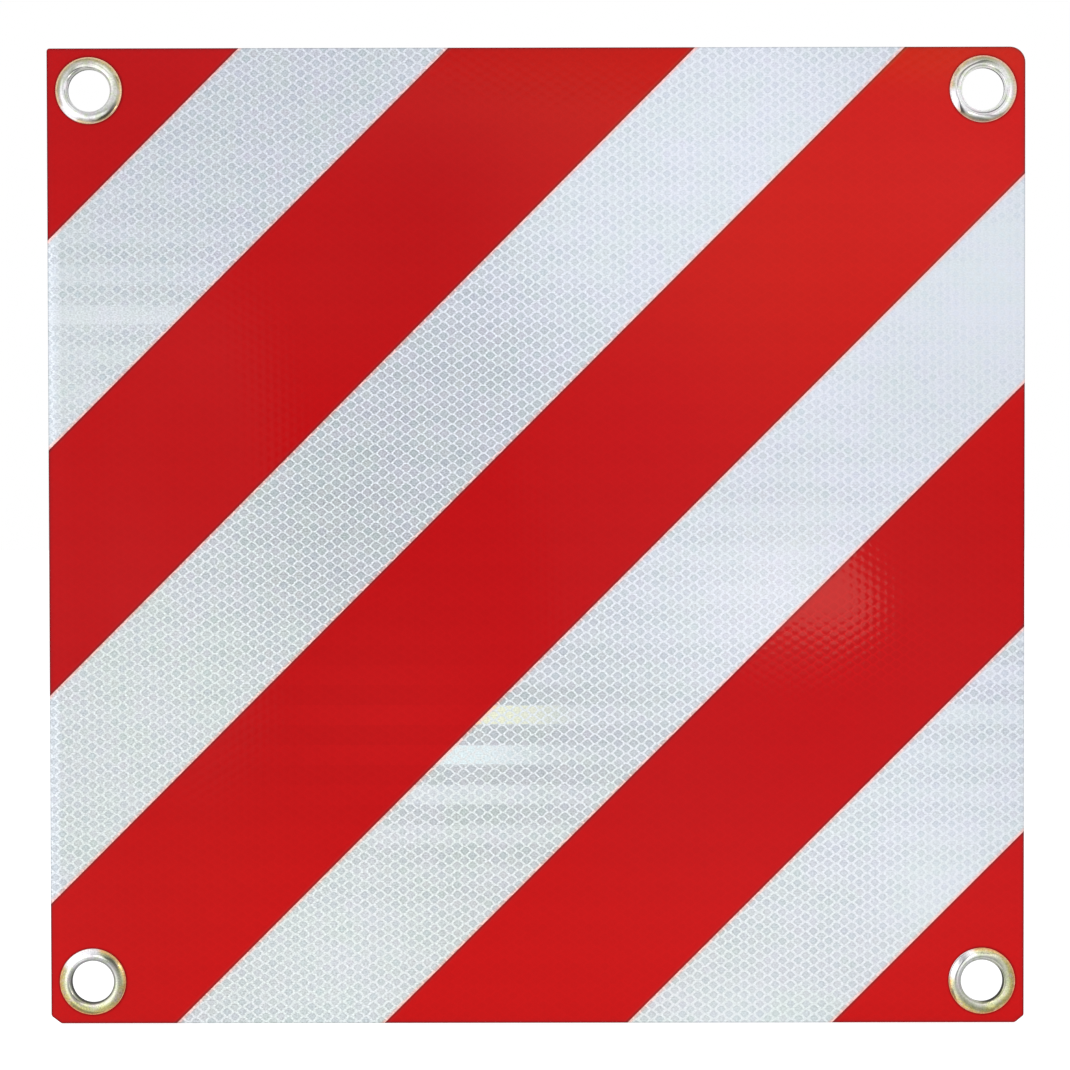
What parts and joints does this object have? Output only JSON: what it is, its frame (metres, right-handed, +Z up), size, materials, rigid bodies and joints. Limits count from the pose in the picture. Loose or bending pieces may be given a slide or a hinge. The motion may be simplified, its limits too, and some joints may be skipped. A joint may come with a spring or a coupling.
{
  "type": "overhanging load sign",
  "caption": "Square aluminium plate faced with red and white diagonally striped reflective sheeting, with a metal eyelet in each corner for tying it to an overhanging load.",
  "frame": {"origin": "centre of the eyelet pattern, in the middle of the plate's thickness", "axes": "+Z up the sign, +X to the right as its striped face is read, -Y out of the striped face"},
  "size_m": [0.5, 0.0048, 0.5],
  "materials": {
    "plate": "mill finish rolled sheet, cut edge",
    "adhesive": "clear pressure sensitive adhesive layer",
    "white_film": "white seal film",
    "prism_film": "glossy prismatic reflective film, honeycomb seal lines, silvery white",
    "red_film": "glossy transparent red over the prismatic film",
    "eyelet": "bright zinc plated steel with a faint yellow passivation",
    "washer": "zinc plated steel"
  },
  "bodies": {
    "root": {"backing_plate": "plate", "sheeting_adhesive": "adhesive", "sheeting_backing_film": "white_film", "prism_film": "prism_film", "red_stripe_1": "red_film", "red_stripe_2": "red_film", "red_stripe_3": "red_film", "red_stripe_4": "red_film", "red_stripe_5": "red_film", "eyelet_top_left": "eyelet", "eyelet_top_right": "eyelet", "eyelet_bottom_left": "eyelet", "eyelet_bottom_right": "eyelet", "eyelet_washer_top_left": "washer", "eyelet_washer_top_right": "washer", "eyelet_washer_bottom_left": "washer", "eyelet_washer_bottom_right": "washer"}
  },
  "joints": []
}
